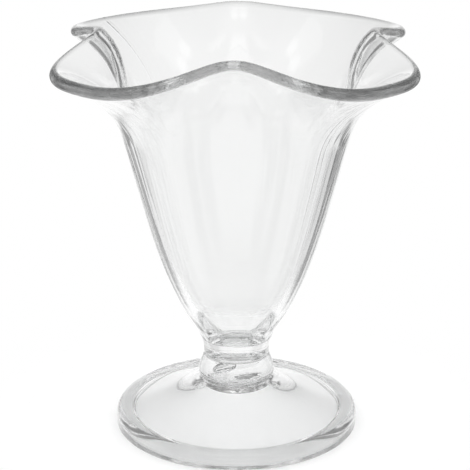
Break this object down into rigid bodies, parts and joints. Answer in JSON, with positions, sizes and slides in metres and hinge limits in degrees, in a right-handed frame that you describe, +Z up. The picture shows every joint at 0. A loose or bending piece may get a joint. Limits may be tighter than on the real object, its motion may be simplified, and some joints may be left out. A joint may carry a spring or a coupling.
{
  "type": "parfait glass",
  "caption": "Clear footed sundae glass: a tulip bowl with a wavy lobed rim, welded to a short solid stem and a domed hollow foot, for layered cold desserts.",
  "frame": {"origin": "centre of the standing ring under the foot, on the table", "axes": "+Z up along the glass's axis, +X and +Y through two neighbouring notches of the rim"},
  "size_m": [0.0988, 0.0988, 0.1194],
  "materials": {
    "bowl_glass": "fire-polished clear",
    "stem_glass": "polished clear",
    "foot_glass": "polished clear",
    "weld_glass": "wrinkled clear"
  },
  "bodies": {
    "root": {"bowl": "bowl_glass", "neck_weld": "weld_glass", "stem": "stem_glass", "foot_weld": "weld_glass", "foot": "foot_glass"}
  },
  "joints": []
}
